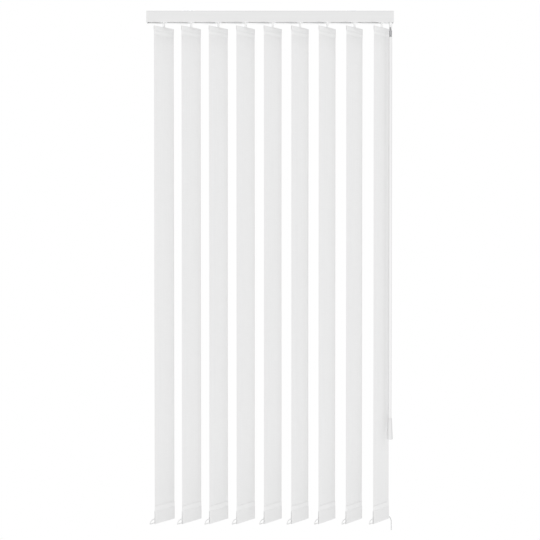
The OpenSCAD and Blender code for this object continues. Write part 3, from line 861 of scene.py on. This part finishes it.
class BLIND_OT_carriers(bpy.types.Operator):
    """Finishes the carriers, the gears and the hangers"""

    bl_idname = "blind.carriers"
    bl_label = "Finish the carriers"

    def execute(self, context):
        colours = context.scene.blind_colours
        dress(numbered("carrier") + ["wand_drive"], moulded("carrier_white", colours.carrier, 0.5))
        dress(numbered("worm") + ["drive_gear"], moulded("gear_natural", colours.gear, 0.38))
        dress(numbered("hanger"), moulded("hanger_white", colours.hanger, 0.44))
        return {"FINISHED"}


class BLIND_OT_wand(bpy.types.Operator):
    """Bends the hook, turns the grip and finishes the wand"""

    bl_idname = "blind.wand"
    bl_label = "Make the wand"

    play = 0.0002
    foot_round = 0.0022
    top_roll = 0.0008
    bail_bend = 0.0017
    pin_drop = 0.00135
    leg_depth = 0.001
    ferrule_wall = 0.0009
    ferrule_lip = 0.0003
    crimp = 0.0005

    def execute(self, context):
        sizes = context.scene.blind_sizes
        colours = context.scene.blind_colours
        dress(["wand"], glossy_extrusion("wand_white", colours.gloss))
        hook = self.hook(sizes, colours)
        grip = self.grip(sizes)
        wear(grip, moulded("grip_white", colours.moulding, 0.36))
        for piece, node in ((hook, "wand_hook"), (grip, "wand_grip")):
            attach(piece, "hanging_wand")
            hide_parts(node)
        return {"FINISHED"}

    def turned(self, name, rings, steps):
        """A turned piece: a circle drawn out ring by ring, as (radius, height), and capped."""
        deselect()
        radius, height = rings[0]
        bpy.ops.mesh.primitive_circle_add(vertices=steps, radius=radius, fill_type="NGON",
                                          location=(0, 0, height))
        piece = bpy.context.object
        piece.name = name
        bpy.ops.object.transform_apply(location=True, rotation=True, scale=True)
        bpy.ops.object.mode_set(mode="EDIT")
        bpy.ops.mesh.select_all(action="SELECT")
        for next_radius, next_height in rings[1:]:
            rise = (0, 0, next_height - height)
            bpy.ops.mesh.extrude_region_move(TRANSFORM_OT_translate={"value": rise})
            share = next_radius / radius
            bpy.ops.transform.resize(value=(share, share, 1), center_override=(0, 0, next_height))
            radius, height = next_radius, next_height
        bpy.ops.mesh.select_all(action="SELECT")
        bpy.ops.mesh.remove_doubles(threshold=0.000001)
        bpy.ops.mesh.normals_make_consistent(inside=False)
        bpy.ops.object.mode_set(mode="OBJECT")
        return piece

    def grip(self, sizes):
        """A flared handle with a dimpled, rounded foot, a rolled top edge and a socket for the wand."""
        foot = (GRIP_HIGH.x - GRIP_LOW.x) / 2
        top = sizes.grip_top / 2
        low, high = GRIP_LOW.z, GRIP_HIGH.z
        socket = sizes.wand / 2 + 0.00015
        edge = self.foot_round
        rings = [(foot * 0.30, low + 0.0010), (foot * 0.36, low + 0.0003), (foot * 0.42, low),
                 (foot - edge, low)]
        for k in range(1, 6):
            a = math.pi / 2 * k / 5
            rings.append((foot - edge + edge * math.sin(a), low + edge - edge * math.cos(a)))
        span = high - self.top_roll - (low + edge)
        for k in range(1, 9):
            rings.append((foot + (top - foot) * k / 8, low + edge + span * k / 8))
        rings += [(top - 0.0002, high - 0.0003), (top - 0.0006, high), (socket, high),
                  (socket, WAND_LOW.z - self.play)]
        piece = self.turned("wand_handle", rings, 48)
        settle(piece, Matrix.Translation((WAND_X, WAND_Y, 0)))
        smooth(piece, 40)
        return piece

    def hook(self, sizes, colours):
        """A wire bail bent over the drive's eye, and a crimped ferrule under it."""
        r = sizes.wire / 2
        pin = HOOK_HIGH.z - self.pin_drop
        shelf = pin - sizes.hook_drop
        low = HOOK_LOW.z
        leg, bend = sizes.hook_leg, self.bail_bend
        quarter = [math.pi / 2 * k / 8 for k in range(9)]
        left = [(-leg, 0, shelf - self.leg_depth)]
        left += [(bend * (1 - math.cos(a)) - leg, 0, pin - bend * (1 - math.sin(a))) for a in quarter]
        right = [(-x, y, z) for x, y, z in reversed(left)]
        bail = strand("bail", left + right, r, 5)
        body = sizes.ferrule / 2
        lip, waist = self.ferrule_lip, body - self.crimp
        rim = leg + r + lip
        bore, depth = body - self.ferrule_wall, low + sizes.spigot + self.play
        rings = [(bore, depth), (bore, low), (body - lip, low), (body, low + lip), (body, low + 0.0032),
                 (waist, low + 0.0038), (waist, low + 0.0046), (body, low + 0.0052),
                 (body, shelf - 0.0030), (rim - lip, shelf - 0.0025), (rim, shelf - 0.0022),
                 (rim, shelf - 0.0004), (rim - 0.0004, shelf), (0.0008, shelf)]
        ferrule = self.turned("ferrule", rings, 40)
        wire = drawn_metal("hook_wire", colours.wire, 0.42, 0.85, (900, 900, 60))
        steel = drawn_metal("hook_ferrule", colours.ferrule, 0.5, 0.45, (60, 60, 900))
        bail.data.materials.append(wire)
        ferrule.data.materials.append(steel)
        pick(ferrule, bail)
        bpy.ops.object.join()
        hook = bpy.context.object
        hook.name = "wand_bail"
        turn = Matrix.Rotation(sizes.tilt, 4, "Z")
        settle(hook, Matrix.Translation((WAND_X, WAND_Y, 0)) @ turn)
        smooth(hook, 40)
        return hook


OPERATORS = (BLIND_OT_stage, BLIND_OT_chain_tail, BLIND_OT_slats, BLIND_OT_weights, BLIND_OT_headrail,
             BLIND_OT_carriers, BLIND_OT_wand)


class BLIND_PT_panel(bpy.types.Panel):
    """Lists the steps that dress the blind"""

    bl_idname = "BLIND_PT_panel"
    bl_label = "Vertical blind"
    bl_space_type = "VIEW_3D"
    bl_region_type = "UI"
    bl_category = "Blind"

    def draw(self, context):
        for operator in OPERATORS:
            self.layout.operator(operator.bl_idname)


CLASSES = (BlindSizes, BlindColours, *OPERATORS, BLIND_PT_panel)


def register():
    for cls in CLASSES:
        bpy.utils.register_class(cls)
    bpy.types.Scene.blind_sizes = PointerProperty(type=BlindSizes)
    bpy.types.Scene.blind_colours = PointerProperty(type=BlindColours)


def unregister():
    del bpy.types.Scene.blind_colours
    del bpy.types.Scene.blind_sizes
    for cls in reversed(CLASSES):
        bpy.utils.unregister_class(cls)


def main():
    register()
    bpy.ops.blind.stage()
    bpy.ops.blind.chain_tail()
    bpy.ops.blind.slats()
    bpy.ops.blind.weights()
    bpy.ops.blind.headrail()
    bpy.ops.blind.carriers()
    bpy.ops.blind.wand()


if __name__ == "__main__":
    main()
